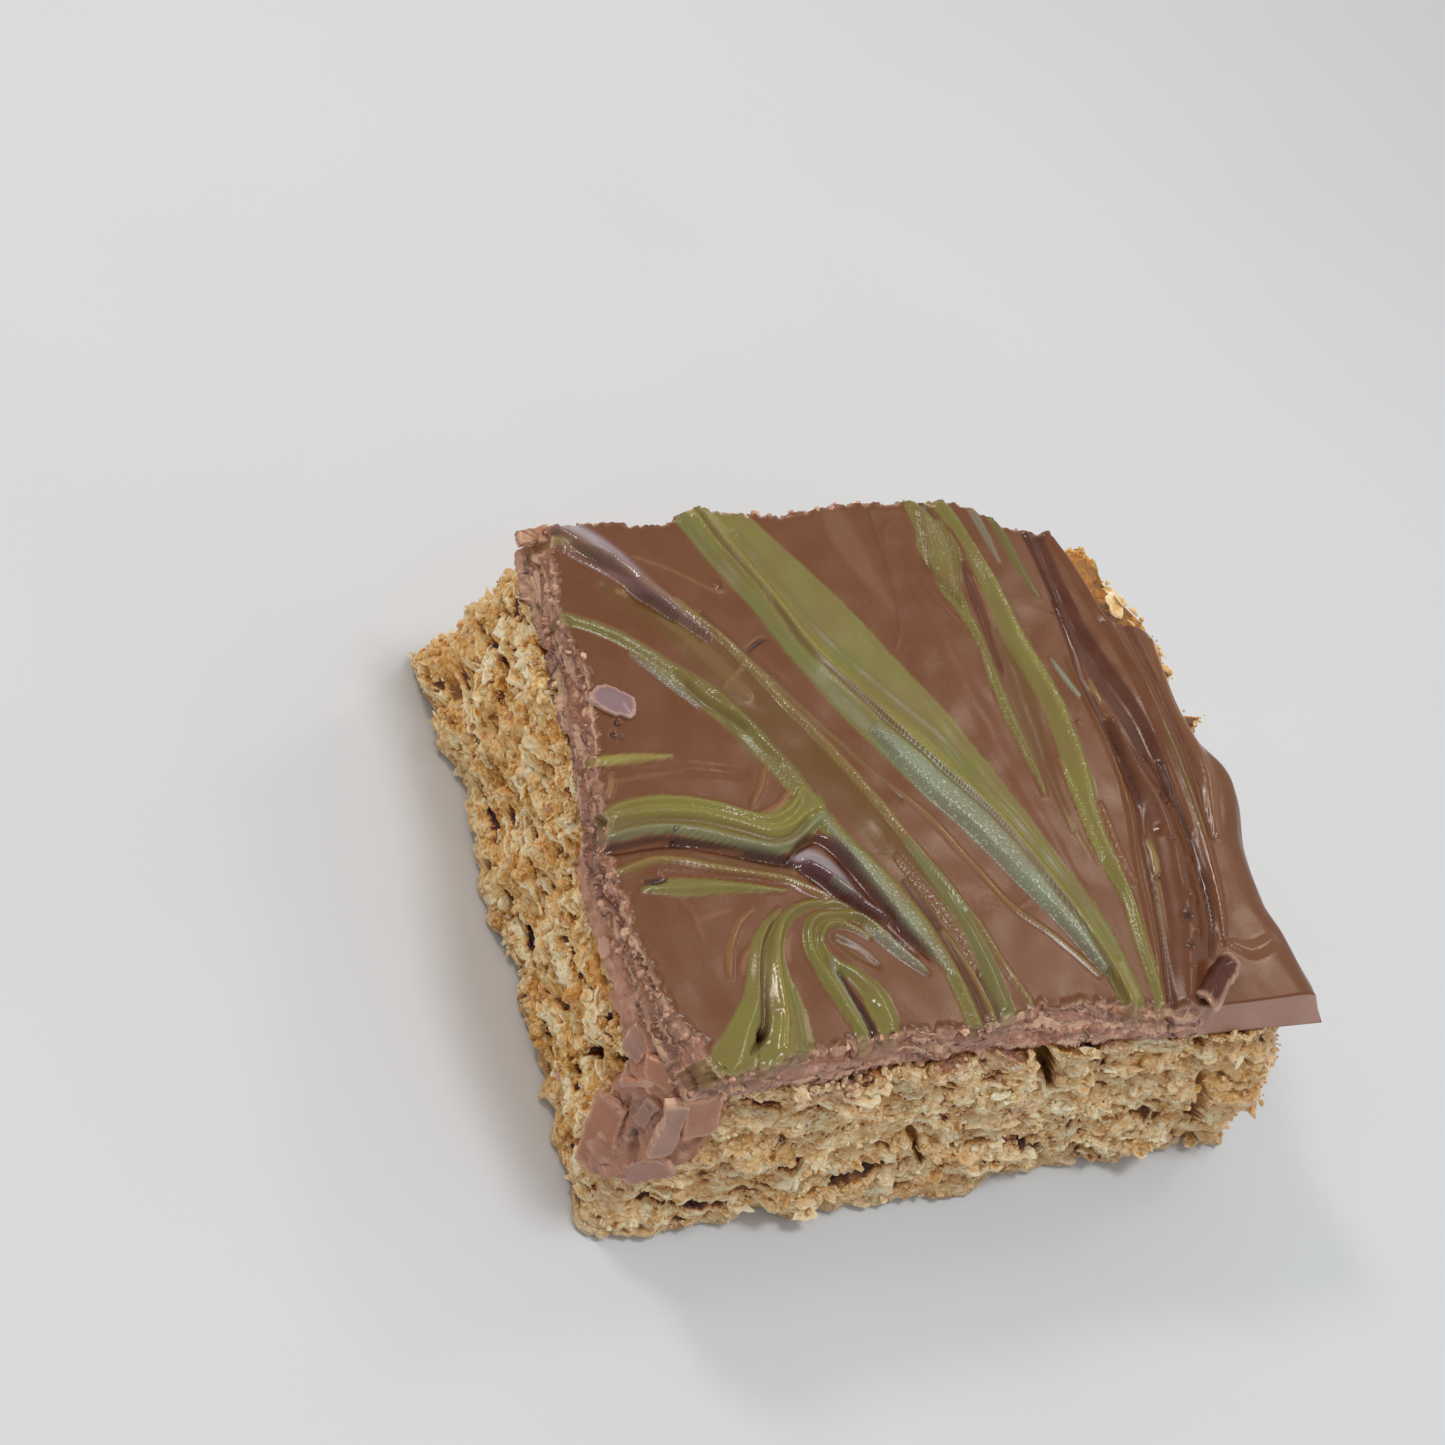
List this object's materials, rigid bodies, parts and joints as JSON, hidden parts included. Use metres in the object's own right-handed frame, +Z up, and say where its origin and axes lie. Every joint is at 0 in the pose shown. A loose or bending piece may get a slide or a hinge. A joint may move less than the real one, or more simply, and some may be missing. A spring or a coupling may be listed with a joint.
{
  "type": "chocolate flapjack",
  "caption": "Cut square of oat flapjack, with torn crumbly sides, under a layer of brown chocolate marbled with green swirls; it lies flat on its base.",
  "frame": {"origin": "middle of the flat base, on the surface that the piece lies on", "axes": "+X along the near cut towards the chocolate's overhanging lip, +Y away from the near cut, +Z up"},
  "size_m": [0.0738, 0.0623, 0.0267],
  "materials": {
    "baked_oats": "rough baked oats with syrup, torn at the cuts",
    "marbled_chocolate": "set chocolate, satin, marbled with green"
  },
  "bodies": {
    "root": {"oat_base": "baked_oats", "chocolate_layer": "marbled_chocolate"}
  },
  "joints": []
}
